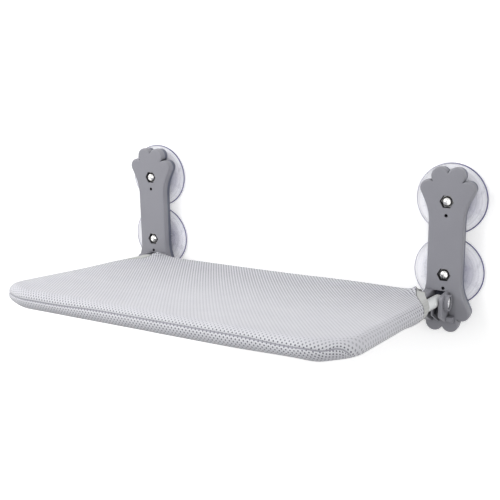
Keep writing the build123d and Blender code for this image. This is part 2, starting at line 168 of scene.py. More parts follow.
# %% Copy the shells and round their sharp edges
def softened(node_name, width_mm):
    """A copy of a CAD node whose sharp edges are rounded, and which stands for it."""
    piece = nodes[node_name].copy()
    piece.data = nodes[node_name].data.copy()
    piece.name = node_name + "_moulded"
    piece.parent = None
    for key in list(piece.keys()):
        del piece[key]
    bpy.context.scene.collection.objects.link(piece)
    bpy.ops.object.select_all(action="DESELECT")
    piece.select_set(True)
    bpy.context.view_layer.objects.active = piece
    # Join the loose triangles, and take away the lines that they leave across flat faces
    bpy.ops.object.mode_set(mode="EDIT")
    bpy.ops.mesh.select_all(action="SELECT")
    bpy.ops.mesh.remove_doubles(threshold=0.002 * MM)
    bpy.ops.mesh.customdata_custom_splitnormals_clear()
    bpy.ops.mesh.dissolve_limited(angle_limit=math.radians(0.4))
    bpy.ops.object.mode_set(mode="OBJECT")
    bevel = piece.modifiers.new("edges", "BEVEL")
    bevel.width = width_mm * MM
    bevel.segments = 2
    bevel.limit_method = "ANGLE"
    bevel.angle_limit = math.radians(38)
    bevel.miter_outer = "MITER_ARC"
    bevel.use_clamp_overlap = True
    bpy.ops.object.modifier_apply(modifier=bevel.name)
    bpy.ops.object.shade_smooth_by_angle(angle=math.radians(30))
    even = piece.modifiers.new("flat_faces_stay_flat", "WEIGHTED_NORMAL")
    even.weight = 100
    even.keep_sharp = True
    bpy.ops.object.modifier_apply(modifier=even.name)
    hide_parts(node_name)
    piece.select_set(False)
    return piece


for side in ("left", "right"):
    for part, plastic in (("front", bracket_abs), ("back", back_shell_abs_and_shade)):
        shell = softened(f"bracket_{part}_{side}", width_mm=0.4)
        dress(plastic, shell)
        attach(shell, "window_mount")
        print(shell.name, "has", len(shell.data.polygons), "faces")

# %% [markdown]
# ## Metals
# The domed nuts are turned from brass and plated with nickel, so they mirror the room. The hexagon under
# the dome sits deep in its recess, and it is painted near black as the recess's shade. The studs and lock
# nuts are steel with a thin zinc coat: duller, with a cloudy bluish tone. The hinge bolts have a whiter
# and rougher zinc, painted near white as the highlight that their heads catch. The tube is powder coated:
# the powder melts into a white skin with a slight orange peel, about 2 mm from dimple to dimple.

# %% Plated and coated metals
NICKEL = "#E6E5E3"
# The near black painted on the hexagon, as the shade of its recess
HEX_RECESS_SHADE = "#1B1B1D"
DOME_FOOT_Y = -19.2 * MM


def metal(name, colour, roughness, cloud_mm, spread, bump_mm):
    """Bare or plated metal whose polish varies a little."""
    material, tree, output = new_material(name)
    place = add(tree, "ShaderNodeTexCoord")
    cloud = add(tree, "ShaderNodeTexNoise", {
        "Vector": place.outputs["Object"], "Scale": 1 / (cloud_mm * MM), "Detail": 4.0})
    polish = add(tree, "ShaderNodeMapRange", {
        "Value": cloud.outputs["Fac"], "To Min": roughness, "To Max": roughness + spread})
    bump = add(tree, "ShaderNodeBump", {
        "Height": cloud.outputs["Fac"], "Strength": 0.3, "Distance": bump_mm * MM})
    shader = add(tree, "ShaderNodeBsdfPrincipled", {
        "Base Color": linear(colour), "Metallic": 1.0, "Roughness": polish.outputs["Result"],
        "Normal": bump.outputs["Normal"]})
    tree.links.new(shader.outputs["BSDF"], output.inputs["Surface"])
    return material


nickel = metal(
    "polished_nickel_plate", NICKEL, roughness=0.16, cloud_mm=3.0, spread=0.10, bump_mm=0.01)
# Behind the foot of the dome the hexagon is painted near black: painted shade of its deep recess
tree = nickel.node_tree
place = add(tree, "ShaderNodeTexCoord")
depth = add(tree, "ShaderNodeSeparateXYZ", {"Vector": place.outputs["Object"]})
hex_shade_mask = add(tree, "ShaderNodeMapRange", {
    "Value": depth.outputs["Y"], "From Min": DOME_FOOT_Y, "From Max": DOME_FOOT_Y + 0.3 * MM})
nickel_or_hex_shade = add(tree, "ShaderNodeMix", {
    "Factor": hex_shade_mask.outputs["Result"], "A": linear(NICKEL), "B": linear(HEX_RECESS_SHADE)}, data_type="RGBA")
shader = next(n for n in tree.nodes if n.type == "BSDF_PRINCIPLED")
tree.links.new(nickel_or_hex_shade.outputs[2], shader.inputs["Base Color"])
zinc = metal(
    "zinc_plated_steel", "#B9BCC2", roughness=0.26, cloud_mm=1.2, spread=0.14, bump_mm=0.02)
# The hinge bolts' zinc is painted near white: partly whiter zinc, partly a painted highlight
bolt_zinc_and_highlight = metal(
    "bright_zinc_plate", "#FDFDFE", roughness=0.55, cloud_mm=1.2, spread=0.1, bump_mm=0.02)
black_oxide = metal(
    "black_oxide_steel", "#1A1A1C", roughness=0.4, cloud_mm=0.8, spread=0.1, bump_mm=0.01)


def powder_coat(name, colour, shade, peel_mm):
    """Powder coating with its orange peel."""
    material, tree, output = new_material(name)
    place = add(tree, "ShaderNodeTexCoord")
    peel = add(tree, "ShaderNodeTexNoise", {
        "Vector": place.outputs["Object"], "Scale": 1 / (peel_mm * MM), "Detail": 2.0})
    bump = add(tree, "ShaderNodeBump", {
        "Height": peel.outputs["Fac"], "Strength": 0.25, "Distance": 0.06 * MM})
    tone = add(tree, "ShaderNodeMix", {
        "Factor": peel.outputs["Fac"], "A": linear(shade), "B": linear(colour)}, data_type="RGBA")
    shader = add(tree, "ShaderNodeBsdfPrincipled", {
        "Base Color": tone.outputs[2], "Roughness": 0.28, "Normal": bump.outputs["Normal"],
        "IOR": 1.5, "Coat Weight": 0.3, "Coat Roughness": 0.12})
    tree.links.new(shader.outputs["BSDF"], output.inputs["Surface"])
    return material


tube_coat = powder_coat("white_powder_coat", "#FCFEFD", "#F8FBFA", peel_mm=1.8)
dress(nickel, nodes["acorn_nuts"])
dress(zinc, nodes["cup_studs"])
dress(black_oxide, nodes["shell_screws"])
dress(tube_coat, nodes["frame_tube"])
for side in ("left", "right"):
    dress(bolt_zinc_and_highlight, nodes[f"hinge_bolt_{side}"])
    dress(zinc, nodes[f"lock_nut_{side}"])
    dress(nylon, nodes[f"hinge_bush_{side}"])
    dress(plug_plastic, nodes[f"tube_plug_{side}"])
print("metals:", nickel.name, zinc.name, bolt_zinc_and_highlight.name, black_oxide.name, tube_coat.name)

# %% [markdown]
# ## Clear suction cups
# Soft clear PVC is not glass: light passes through it, but its faces scatter a little and it has a faint
# violet tint. Its pressed rim shows as a thin dark violet line, because there the eye looks along the
# skin. The body mixes a clear part with a glossy milky part, and the rim line is a ring of its own. The
# milky share is largest in the middle, where the vinyl is thick and the bracket's shade and reflection lie
# on the cup, and fades out before the rim: partly milk, partly painted shade. On the right, away from
# the stronger lamp, the milky part is painted a little denser, darker and more violet, as painted shade.
# Faint rings, 6.7 mm apart, and smears of about a centimetre lie on top.

# %% Clear PVC
def clear_pvc(name, centre):
    """Soft clear vinyl, with rings pressed round the cup's centre."""
    material, tree, output = new_material(name)
    place = add(tree, "ShaderNodeTexCoord")
    local = add(tree, "ShaderNodeMapping", {
        "Vector": place.outputs["Object"], "Location": [-c for c in centre]})
    rings = add(tree, "ShaderNodeTexWave", {
        "Vector": local.outputs["Vector"], "Scale": wave_scale(6.711), "Distortion": 0.6,
        "Detail": 1.0}, wave_type="RINGS", rings_direction="Y")
    ring_lines = add(tree, "ShaderNodeMapRange", {
        "Value": rings.outputs["Fac"], "From Min": 0.72, "From Max": 1.0, "To Max": 0.045})
    smear = add(tree, "ShaderNodeTexNoise", {
        "Vector": local.outputs["Vector"], "Scale": 1 / (11 * MM), "Detail": 3.0, "Distortion": 0.6})
    blots = add(tree, "ShaderNodeMapRange", {
        "Value": smear.outputs["Fac"], "From Min": 0.58, "From Max": 0.68, "To Max": 0.05})
    parts = add(tree, "ShaderNodeSeparateXYZ", {"Vector": local.outputs["Vector"]})
    out = add(tree, "ShaderNodeVectorMath", {0: local.outputs["Vector"]}, operation="LENGTH")
    # Partly milk, partly painted shade: the bracket's shade and reflection, strongest next to the bracket
    milk_and_bracket_shade = add(tree, "ShaderNodeMapRange", {
        "Value": out.outputs["Value"], "From Min": 21 * MM, "From Max": 37 * MM,
        "To Min": 0.34, "To Max": 0.02})
    # Painted shade: more milk on the right, away from the stronger lamp
    shaded = add(tree, "ShaderNodeMapRange", {
        "Value": parts.outputs["X"], "From Min": -20 * MM, "From Max": 40 * MM, "To Max": 0.06})
    edge = add(tree, "ShaderNodeLayerWeight", {"Blend": 0.3})
    veil = add(tree, "ShaderNodeMath", {
        0: edge.outputs["Facing"], 1: 0.08, 2: milk_and_bracket_shade.outputs["Result"]}, operation="MULTIPLY_ADD")
    for more in (ring_lines, blots, shaded):
        veil = add(tree, "ShaderNodeMath", {
            0: veil.outputs[0], 1: more.outputs["Result"]}, operation="ADD", use_clamp=True)
    # Painted shade: the milk is darker and more violet on the right
    shade_across = add(tree, "ShaderNodeMapRange", {
        "Value": parts.outputs["X"], "From Min": -30 * MM, "From Max": 30 * MM})
    milk_and_shade = add(tree, "ShaderNodeMix", {
        "Factor": shade_across.outputs["Result"], "A": linear("#CDCDDC"), "B": linear("#A2A2C0")}, data_type="RGBA")
    clear = add(tree, "ShaderNodeBsdfTransparent", {"Color": linear("#FEFEFF")})
    bump = add(tree, "ShaderNodeBump", {
        "Height": smear.outputs["Fac"], "Strength": 0.3, "Distance": 0.3 * MM})
    body = add(tree, "ShaderNodeBsdfPrincipled", {
        "Base Color": milk_and_shade.outputs[2], "Roughness": 0.14, "IOR": 1.52, "Normal": bump.outputs["Normal"],
        "Coat Weight": 0.4, "Coat Roughness": 0.06})
    both = add(tree, "ShaderNodeMixShader", {
        0: veil.outputs[0], 1: clear.outputs["BSDF"], 2: body.outputs["BSDF"]})
    tree.links.new(both.outputs["Shader"], output.inputs["Surface"])
    return material


def rim_pvc(name, centre_x):
    """The rim's violet line, paler on the side that the light comes from."""
    material, tree, output = new_material(name)
    place = add(tree, "ShaderNodeTexCoord")
    parts = add(tree, "ShaderNodeSeparateXYZ", {"Vector": place.outputs["Object"]})
    across = add(tree, "ShaderNodeMapRange", {
        "Value": parts.outputs["X"], "From Min": centre_x - 30 * MM, "From Max": centre_x + 22 * MM})
    tone = add(tree, "ShaderNodeMix", {
        "Factor": across.outputs["Result"], "A": linear("#E4E4EC"), "B": linear("#474480")}, data_type="RGBA")
    shader = add(tree, "ShaderNodeBsdfPrincipled", {
        "Base Color": tone.outputs[2], "Roughness": 0.2, "IOR": 1.52})
    tree.links.new(shader.outputs["BSDF"], output.inputs["Surface"])
    return material


print("clear vinyl is made for each cup, round its own centre")

# %% [markdown]
# The rim line starts as a torus that lies against the glass. A torus is an honest choice here, because a
# moulded bead really is one: a round edge, 1.4 mm thick, that closes the thin skin of the cup.

# %% Cup bodies and rim beads
CUP_RADIUS = 43.3 * MM
BEAD_RADIUS = 0.7 * MM
OFF_THE_GLASS = 0.05 * MM
for side in ("left", "right"):
    for level in ("lower", "upper"):
        cup = nodes[f"suction_cup_{level}_{side}"]
        low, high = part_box(cup.name)
        centre = [(a + b) / 2 for a, b in zip(low, high)]
        dress(clear_pvc(f"clear_soft_pvc_{level}_{side}", centre), cup)
        bpy.ops.object.select_all(action="DESELECT")
        bpy.ops.mesh.primitive_torus_add(
            major_radius=CUP_RADIUS, minor_radius=BEAD_RADIUS, major_segments=128, minor_segments=8,
            location=(centre[0], -BEAD_RADIUS - OFF_THE_GLASS, centre[2]),
            rotation=(math.pi / 2, 0, 0))
        bead = bpy.context.object
        bead.name = f"cup_rim_bead_{level}_{side}"
        bpy.ops.object.transform_apply(location=True, rotation=True, scale=True)
        bpy.ops.object.shade_smooth()
        dress(rim_pvc(f"violet_rim_pvc_{level}_{side}", centre[0]), bead)
        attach(bead, "window_mount")
        print(bead.name, "centre", [round(c, 4) for c in centre])

# %% [markdown]
# ## The cover's cloth
# The cover is a sleeve of warp-knitted air mesh: a face layer with small holes over a core of spacer
# threads. It is pulled over the tube, sewn along the front, and left open round the two tube ends. A
# rounded slab, cut into a fine grid, is the right start: it already has the drum-tight shape, and its
# grid lets the slack, the seam and the small folds be pressed in point by point.

# %% Sizes of the bed, in its own flat frame
HINGE = Vector((0, -36.0 * MM, -75.0 * MM))
TILT = math.radians(6.4)
BED = Matrix.Translation(HINGE) @ Matrix.Rotation(-TILT, 4, "X")
ARM_X = 210.9 * MM
FRONT_Y = -292.0 * MM
REAR_Y = 7.0 * MM
CORNER = 46.0 * MM
ROUND = 10.5 * MM
REAR_CORE = REAR_Y - ROUND
SAG = 3.4 * MM
HANG = 1.8 * MM
SEAM_Z = 2.6 * MM
SEAM_HALF = 1.3 * MM
print("bed outside, mm:", 2 * (ARM_X + ROUND) / MM, "by", (REAR_Y - FRONT_Y + ROUND) / MM)

# %% Start from a box with rounded corners and edges
bpy.ops.object.select_all(action="DESELECT")
bpy.ops.mesh.primitive_cube_add(size=1, location=(0, (REAR_Y + FRONT_Y - ROUND) / 2, 0))
cover = bpy.context.object
cover.name = "cover_start"
cover.scale = (2 * (ARM_X + ROUND), REAR_Y - FRONT_Y + ROUND, 2 * ROUND)
bpy.ops.object.transform_apply(location=True, rotation=True, scale=True)


def pick_edges(obj, test):
    """Select the edges of obj, in edit mode, that pass the test."""
    bpy.ops.mesh.select_all(action="DESELECT")
    bpy.ops.mesh.select_mode(type="EDGE")
    mesh = bmesh.from_edit_mesh(obj.data)
    for edge in mesh.edges:
        if test(edge):
            edge.select_set(True)
    bmesh.update_edit_mesh(obj.data)


def middle(edge):
    """The middle of an edge."""
    return (edge.verts[0].co + edge.verts[1].co) / 2


bpy.ops.object.mode_set(mode="EDIT")
pick_edges(cover, lambda e: abs(middle(e).z) < MM and middle(e).y < FRONT_Y)
bpy.ops.mesh.bevel(offset=CORNER + ROUND, segments=18, profile=0.5)
pick_edges(cover, lambda e: abs(abs(middle(e).z) - ROUND) < 0.01 * MM)
bpy.ops.mesh.bevel(offset=ROUND - 0.15 * MM, segments=8, profile=0.5)
bpy.ops.object.mode_set(mode="OBJECT")
print("rounded slab:", len(cover.data.polygons), "faces")

# %% Cut the slab into a grid of cloth
GRID = 6.0 * MM
mesh = bmesh.new()
mesh.from_mesh(cover.data)


def slice_at(mesh, point, normal, near=None):
    """Cut the faces near a place with a plane."""
    faces = [f for f in mesh.faces if near is None or near(f.calc_center_median())]
    edges = {e for f in faces for e in f.edges}
    verts = {v for f in faces for v in f.verts}
    bmesh.ops.bisect_plane(
        mesh, geom=list(verts) + list(edges) + faces, dist=0.01 * MM, plane_co=point, plane_no=normal)


def steps(start, stop, size):
    """Even steps that fill the space between two places."""
    count = max(1, round((stop - start) / size))
    return [start + (stop - start) * i / count for i in range(count + 1)]


for x in steps(-ARM_X, ARM_X, GRID):
    slice_at(mesh, (x, 0, 0), (1, 0, 0))
for y in steps(FRONT_Y, REAR_CORE, GRID):
    slice_at(mesh, (0, y, 0), (0, 1, 0))
for height in (0, SEAM_Z - SEAM_HALF, SEAM_Z, SEAM_Z + SEAM_HALF):
    slice_at(mesh, (0, 0, height), (0, 0, 1))
print("cloth grid:", len(mesh.faces), "faces")

# %% [markdown]
# ## The rear corners
# At each rear corner the cover is cut back so that the tube end and the hinge are free. The cut runs
# along the bracket's cheek, then slants to the sleeve's mouth. A plain tape binds this edge. The cut and
# the tape's inner edge are cut into the cloth first, then the corner is thrown away and the tape's
# part gets its own piece.

# %% Cut lines of the rear corners
# Plan shapes at the right corner, in mm: what is cut away, and what lies outside the tape's inner edge
CUT = [
    (192.6, 30.0), (192.6, -18.0), (203.0, -22.0), (209.5, -36.5), (221.4, -67.5), (240.0, -112.0),
    (240.0, 30.0)]
TAPE = [
    (183.5, 30.0), (184.5, -2.0), (197.5, -36.0), (212.0, -66.0), (221.4, -78.0), (240.0, -121.5),
    (240.0, 30.0)]


def near_corner(side):
    """A test for places near the rear corner of one side."""
    return lambda place: side * place.x > 175 * MM and place.y > -95 * MM


def in_shape(point, shape, side):
    """Whether a point lies inside a plan shape, mirrored for the left side."""
    x, y = side * point.x / MM, point.y / MM
    inside = False
    for (x1, y1), (x2, y2) in zip(shape, shape[1:] + shape[:1]):
        if (y1 > y) != (y2 > y) and x < (x2 - x1) * (y - y1) / (y2 - y1) + x1:
            inside = not inside
    return inside


for side in (-1, 1):
    for shape in (CUT, TAPE):
        for (x1, y1), (x2, y2) in zip(shape[:-2], shape[1:-1]):
            run = Vector((side * (x2 - x1), y2 - y1, 0)).normalized()
            slice_at(mesh, (side * x1 * MM, y1 * MM, 0), (-run.y, run.x, 0), near_corner(side))
dropped = [f for f in mesh.faces if any(in_shape(f.calc_center_median(), CUT, s) for s in (-1, 1))]
bmesh.ops.delete(mesh, geom=dropped, context="FACES")
print("faces cut away at the rear corners:", len(dropped))

# %% [markdown]
# ## Where the knit runs
# The holes follow the cloth, so they need a map that goes round the edges with it. Each point is laid
# flat as a tailor would: its place over the tube, and from there on its length round the tube. The upper
# and the under panel are laid out each from its own flat face. The knit isn't stretched evenly: it is
# pulled wider towards the right, by a seventh at the side, and it lies closer round the tube, by a fifth
# on the sides and by a quarter along the front.

# %% Lay the cloth flat for its texture map
SIDE_CLOSER = 1.25
FRONT_CLOSER = 1.36
WIDER_TO_THE_RIGHT = 0.313


def edge_of(x, y):
    """Distance past the tube's centre line, and the way that it points."""
    cx, cy = ARM_X - CORNER, FRONT_Y + CORNER
    sx = 1 if x >= 0 else -1
    if abs(x) > cx and y < cy:
        away = Vector((abs(x) - cx, y - cy))
        if away.length > CORNER:
            n = away.normalized()
            return away.length - CORNER, Vector((sx * n.x, n.y))
        return 0.0, Vector((0, 0))
    past = max(abs(x) - ARM_X, FRONT_Y - y, y - REAR_CORE)
    if past <= 0:
        return 0.0, Vector((0, 0))
    if past == abs(x) - ARM_X:
        return past, Vector((sx, 0))
    return past, Vector((0, -1 if y < 0 and y < REAR_CORE else 1))


def laid_flat(point, under):
    """Where a point of the upper or the under panel lies when the cloth is spread out."""
    past, way = edge_of(point.x, point.y)
    arc = ROUND * math.atan2(past, -point.z if under else point.z) if past > 0 else 0.0
    u = point.x + way.x * (SIDE_CLOSER * arc - past)
    v = point.y + way.y * (arc - past) + min(way.y, 0) * (FRONT_CLOSER - 1) * arc
    return u - WIDER_TO_THE_RIGHT * u * u, v


laid = mesh.loops.layers.uv.new("laid_flat")
from_seam = mesh.verts.layers.float.new("from_seam")
for v in mesh.verts:
    v[from_seam] = v.co.z - SEAM_Z
for face in mesh.faces:
    for loop in face.loops:
        loop[laid].uv = laid_flat(loop.vert.co, face.calc_center_median().z < SEAM_Z)
print("texture map laid out in metres")

# %% [markdown]
# ## Slack, seam and folds
# Real cloth on a frame is never flat. The top sinks a little towards the middle, and tiny swells run
# where the knit is stretched unevenly. The underside hangs slack below the tube. The seam draws the
# edge in a little above its middle, slips down along the front and dives under the two front corners:
# there the cloth is turned round the tube with it. The left front corner is perked up. At each rear
# corner the cut edge stands up in a fold in front of the bracket. Next to the bracket the fold is kept
# low, so that it passes in front of it when the bed folds up. The sleeve's mouth hangs open below the
# tube. The amounts are read off the photograph, where a pixel is a good millimetre.

# %% Waves, bumps and steps
def swell(x, y):
    """Uneven tension of the cloth, as a few waves 100 to 330 mm long."""
    a = math.sin(x / 0.041 + 1.3 * math.sin(y / 0.06)) * math.sin(y / 0.052 + 0.7)
    b = math.sin((x + y) / 0.023 + 0.9) * math.sin((x - 0.6 * y) / 0.031)
    return 0.35 * a + 0.15 * b


def bell(distance, width):
    """A smooth bump that is one at the middle and fades out."""
    return math.exp(-(distance / width) ** 2)


def ramp(value, start, stop):
    """A smooth step from 0 at start to 1 at stop."""
    t = max(0.0, min(1.0, (value - start) / (stop - start)))
    return t * t * (3 - 2 * t)


print("waves, bumps and steps are ready")

# %% Where the seam slips and where the cloth stands up
def corner_angle(x, y):
    """How far round a front corner a place is: 0 where the straight front ends, half pi at the side."""
    return math.atan2(max(abs(x) - (ARM_X - CORNER), 0), max(FRONT_Y + CORNER - y, 0.01 * MM))


def seam_drop(x, y):
    """How far round the tube, in radians, the seam has slipped down at this place."""
    corner = corner_angle(x, y)
    # Left: it sinks along the front, holds back as the corner starts, and then dives
    if x < 0:
        front = 0.22 * ramp(-x, 50 * MM, 130 * MM) - 0.10 * bell(corner - 0.5, 0.22)
        return front + 0.6 * ramp(corner, 0.75, 1.35)
    # Right: a smaller sink, a crease with a pucker behind it, and a steeper dive
    crease = 0.12 * ramp(corner, 0.25, 0.55) - 0.22 * bell(corner - 0.80, 0.15)
    return 0.12 * ramp(x, 115 * MM, 155 * MM) + crease + 0.95 * ramp(corner, 0.88, 1.3)


# Places beside the right-hand cut, in mm, and how far the cloth stands up there
CREST = [
    (187, 8, 2.0), (187, -3, 3.2), (187.5, -9, 4.2), (190.5, -13.5, 9.0), (191.3, -18, 8.5),
    (195, -21, 3.8), (203, -24, 3.6), (209, -36, 0.8)]
HIGHEST_MM = 9.5
LOWER_BESIDE_MM = 6.3


def fold_height(x, y):
    """How much the cut edge of a rear corner stands up."""
    crest = 0.0
    for (x1, y1, h1), (x2, y2, h2) in zip(CREST, CREST[1:]):
        start, run = Vector((x1, y1)), Vector((x2 - x1, y2 - y1))
        here = Vector((abs(x) / MM, y / MM)) - start
        t = max(0.0, min(1.0, here @ run / run.length_squared))
        crest = max(crest, (h1 + (h2 - h1) * t) * math.exp(-((here - run * t).length / 8.5) ** 1.3))
    outside = ramp(abs(x), 191.6 * MM, 193.2 * MM)
    behind = ramp(abs(x), 188 * MM, 190.5 * MM) * ramp(y, -17 * MM, -13.5 * MM)
    return min(crest, HIGHEST_MM - LOWER_BESIDE_MM * max(outside, behind)) * MM


print("each rear fold stands up", round(fold_height(191.3 * MM, -18 * MM) / MM, 1), "mm at its crest")

# %% Press the slack, the seam and the folds into the grid
def freedom(x, y):
    """How free of the tube the cloth is at a place: 0 on the tube, nearly 1 some 60 mm inside it."""
    inside = min(ARM_X - abs(x), y - FRONT_Y, (REAR_CORE + 12 * MM - y) * 1.6)
    return 1 - math.exp(-max(inside, 0) / (22 * MM))


def turned_with_seam(co, past, way, gap):
    """The way a point at the front or a side goes when the cloth slips round the tube with its seam."""
    x, y, z = co
    angle = math.atan2(z, past)
    seam = math.asin(SEAM_Z / ROUND)
    share = ramp(angle, -math.pi / 2, seam) if angle < seam else 1 - ramp(angle, seam, math.pi / 2)
    turned = angle - seam_drop(x, y) * share
    groove = 0.9 * MM * bell(gap, 1.2 * MM) * (1 - 0.8 * ramp(seam_drop(x, y), 0.3, 0.6))
    reach = math.hypot(past, z)
    shift = reach * math.cos(turned) - past - groove
    return Vector((way.x * shift, way.y * shift, reach * math.sin(turned) - z))


def top_rise(x, y, z, free):
    """How far a point of the upper panel rises: sag, swells, the perked corner and the rear folds."""
    across = max(1 - (x / ARM_X) ** 2, 0) ** 0.8
    run = min(max((y - FRONT_Y) / (REAR_CORE - FRONT_Y), 0), 1)
    along = max(math.sin(math.pi * run), 0) ** 0.6
    # Right of the middle the rear edge is pulled up a little
    rear_lift = 1.5 * MM * bell(x - 105 * MM, 75 * MM) * ramp(y, -90 * MM, 0)
    rise = rear_lift - free * (SAG * across * along + 0.3 * MM * (1 + swell(x, y)))
    # The left front corner is perked up, and the left side behind it lies lower
    perk = 2.6 * MM * bell(corner_angle(x, y) - 0.75, 0.4) if x < 0 else 0.0
    perk -= 1.3 * MM * ramp(-x, 170 * MM, 205 * MM) * ramp(-y, 70 * MM, 150 * MM)
    return rise + (fold_height(x, y) + perk * (1 - free)) * min(z / ROUND, 1)


def under_drop(x, y, z, past, free):
    """How far a point of the under panel drops: slack, the front corners' bellies and the open mouths."""
    # The slack ends on the right. There the front corner has a belly, and the left one is drawn up
    hang = HANG * (1 - ramp(x, 90 * MM, 175 * MM)) * (0.85 + 0.15 * free)
    round_by = corner_angle(x, y) - 0.5
    near_tip = bell(round_by, 0.5 if x < 0 < round_by else 0.28)
    belly = near_tip * ramp(math.hypot(past, z), 6 * MM, 10 * MM) * (1.7 * MM if x > 0 else -2.4 * MM)
    mouth = 3.6 * MM * bell(abs(x) - ARM_X, 16 * MM) * bell(y + 78 * MM, 36 * MM)
    return min(-z / ROUND, 1) * (hang + belly + mouth + free * 0.35 * MM * swell(x + 0.1, y))


for v in mesh.verts:
    x, y, z = v.co
    past, way = edge_of(x, y)
    free = freedom(x, y)
    if past > 0 and y < 0:
        v.co += turned_with_seam(v.co, past, way, v[from_seam])
    if z > 0:
        v.co.z += top_rise(x, y, z, free)
    else:
        v.co.z -= under_drop(x, y, z, past, free)
mesh.to_mesh(cover.data)
mesh.free()
print("cloth pressed:", len(cover.data.vertices), "points")

# %% [markdown]
# ## One sleeve, four pieces
# The upper and lower panels meet in the seam round the edge, and the tapes bind the rear corners. Each
# becomes a piece of its own, is given the cloth's thickness with Solidify, and is moved onto the hinge.

# %% Separate the panels and tapes
def part_of(source, name, test):
    """A copy of source that keeps only the faces that pass the test."""
    piece = source.copy()
    piece.data = source.data.copy()
    piece.name = name
    bpy.context.scene.collection.objects.link(piece)
    work = bmesh.new()
    work.from_mesh(piece.data)
    layer = work.verts.layers.float["from_seam"]
    others = [f for f in work.faces
              if not test(f.calc_center_median(), sum(v[layer] for v in f.verts))]
    bmesh.ops.delete(work, geom=others, context="FACES")
    work.to_mesh(piece.data)
    work.free()
    return piece


def at_tape(point):
    """Whether a point lies in either corner's tape."""
    return in_shape(point, TAPE, 1) or in_shape(point, TAPE, -1)


top_panel = part_of(cover, "mesh_panel_top", lambda c, gap: gap > 0 and not at_tape(c))
under_panel = part_of(cover, "mesh_panel_under", lambda c, gap: gap < 0 and not at_tape(c))
tapes = {
    "right": part_of(cover, "corner_tape_right", lambda c, gap: in_shape(c, TAPE, 1)),
    "left": part_of(cover, "corner_tape_left", lambda c, gap: in_shape(c, TAPE, -1)),
}
# The stitches don't show on the bed's sides, so there the panels' edges are marked as away from the seam
for piece, way in ((top_panel, 1), (under_panel, -1)):
    for v, gap in zip(piece.data.vertices, piece.data.attributes["from_seam"].data):
        gap.value += way * 1.2 * MM * ramp(corner_angle(v.co.x, v.co.y), 1.0, 1.25)
bpy.data.objects.remove(cover)
for piece in (top_panel, under_panel, *tapes.values()):
    print(piece.name, "has", len(piece.data.polygons), "faces")

# %% Turn the tape's edge in, and mark its seam
def gap_to(line, x, y):
    """Distance in plan from a point to a chain of points, all in mm."""
    best = 1e9
    for (x1, y1), (x2, y2) in zip(line, line[1:]):
        start, run = Vector((x1, y1)), Vector((x2 - x1, y2 - y1))
        here = Vector((x, y)) - start
        t = max(0.0, min(1.0, here @ run / run.length_squared))
        best = min(best, (here - run * t).length)
    return best


# The edges this near to the cut are folded in, towards the bed's middle, the front and the tube
LIP_NEAR_MM = 1.6
FOLD_IN, FOLD_FORWARD, FOLD_DOWN = 0.7 * MM, 0.5 * MM, 1.6 * MM
for side, tape in tapes.items():
    sign = 1 if side == "right" else -1
    work = bmesh.new()
    work.from_mesh(tape.data)
    layer = work.verts.layers.float["from_seam"]
    for v in work.verts:
        v[layer] = gap_to(TAPE[:-1], sign * v.co.x / MM, v.co.y / MM) * MM
    lip = [e for e in work.edges
           if e.is_boundary
           and gap_to(CUT[:-1], sign * middle(e).x / MM, middle(e).y / MM) < LIP_NEAR_MM]
    grown = bmesh.ops.extrude_edge_only(work, edges=lip)
    for v in [g for g in grown["geom"] if isinstance(g, bmesh.types.BMVert)]:
        v.co += Vector((-sign * FOLD_IN, -FOLD_FORWARD, -FOLD_DOWN if v.co.z > 0 else FOLD_DOWN))
    work.to_mesh(tape.data)
    work.free()
    print(tape.name, "turned in along", len(lip), "edges")

# %% [markdown]
# ## Knit and tape
# The face layer's holes are ovals, 1.5 mm wide and 2.3 mm long at the front, and a little wider and
# softer towards the back. They stand 4.2 mm apart in a row, the rows are 3.2 mm apart, and each row is
# shifted by half a step, so in perspective they line up in slanting streaks. A square grid of cells
# turned by 45 degrees gives exactly that order. Inside a hole the spacer threads are in shade, and that
# shade is painted in as a dark grey. It is painted darkest round the tube, where the knit is stretched.
# On the flat top the holes are painted lighter, as painted light that falls into them, most of all near
# the front and on the right, and the underside's holes are painted half as dark. Between the holes the
# yarn's loops give a slanting twill of 2 mm, and loose fibres a soft sheen. The seam is a sewn groove a
# good millimetre wide, where the thread and the groove's shade are painted a darker grey. Beside it the
# yarn is lighter.

# %% Knitted air mesh
# From hole to hole in a row, and from a row to the next but one
HOLE_GAP = 4.15 * MM
ROW_PAIR = 6.4 * MM


